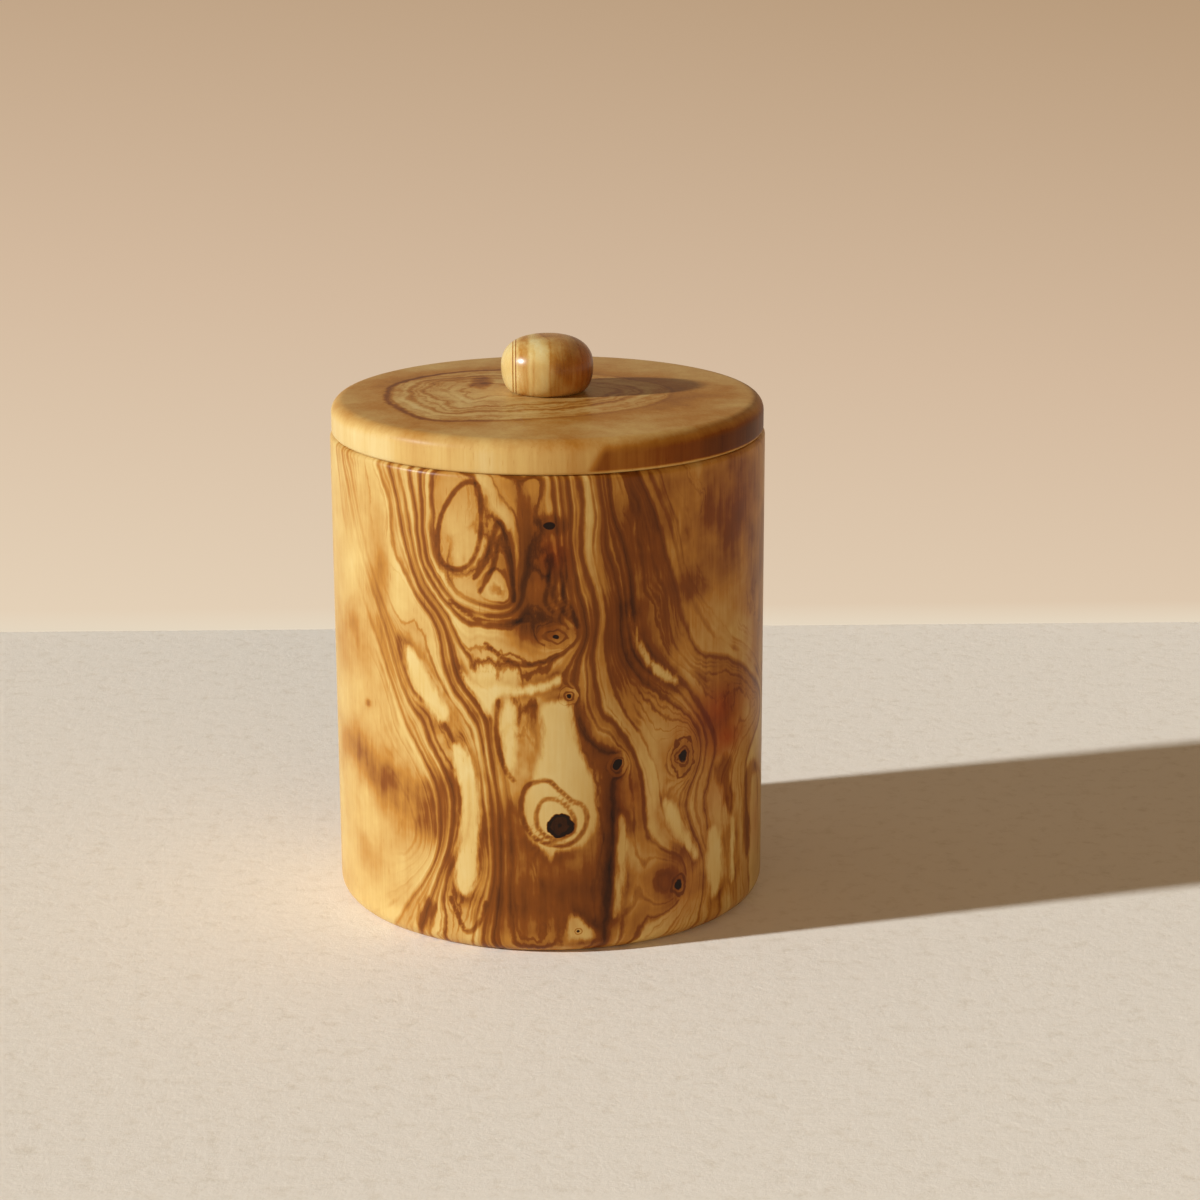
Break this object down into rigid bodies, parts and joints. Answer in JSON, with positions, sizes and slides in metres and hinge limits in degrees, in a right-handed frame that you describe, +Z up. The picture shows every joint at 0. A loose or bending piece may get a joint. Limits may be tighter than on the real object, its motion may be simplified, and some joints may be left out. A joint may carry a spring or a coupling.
{
  "type": "wooden spice jar",
  "caption": "Turned cylindrical olive wood jar with a drop-in knobbed lid, for keeping spices or salt.",
  "frame": {"origin": "middle of the base, on the surface that the jar stands on", "axes": "+Z up along the turning axis; -Y is the side with the large knot, the one that the picture shows"},
  "size_m": [0.085, 0.085, 0.1119],
  "materials": {
    "olive_wood_body": "oiled satin, strongly figured with knots",
    "olive_wood_lid": "oiled satin",
    "olive_wood_knob": "oiled, polished",
    "screw_steel": "bright zinc",
    "seal_silicone": "translucent milky silicone"
  },
  "bodies": {
    "jar": {"jar_body": "olive_wood_body"},
    "seal": {"seal_ring": "seal_silicone"},
    "lid": {"lid": "olive_wood_lid", "knob": "olive_wood_knob", "knob_screw": "screw_steel"}
  },
  "joints": [
    {"name": "lid_lift", "type": "slide", "parent": "jar", "child": "seal", "axis": [0, 0, 1], "range_m": [0, 0.08]},
    {"name": "lid_turn", "type": "hinge", "parent": "seal", "child": "lid", "pos_m": [0, 0, 0.0936], "axis": [0, 0, 1], "continuous": true}
  ]
}
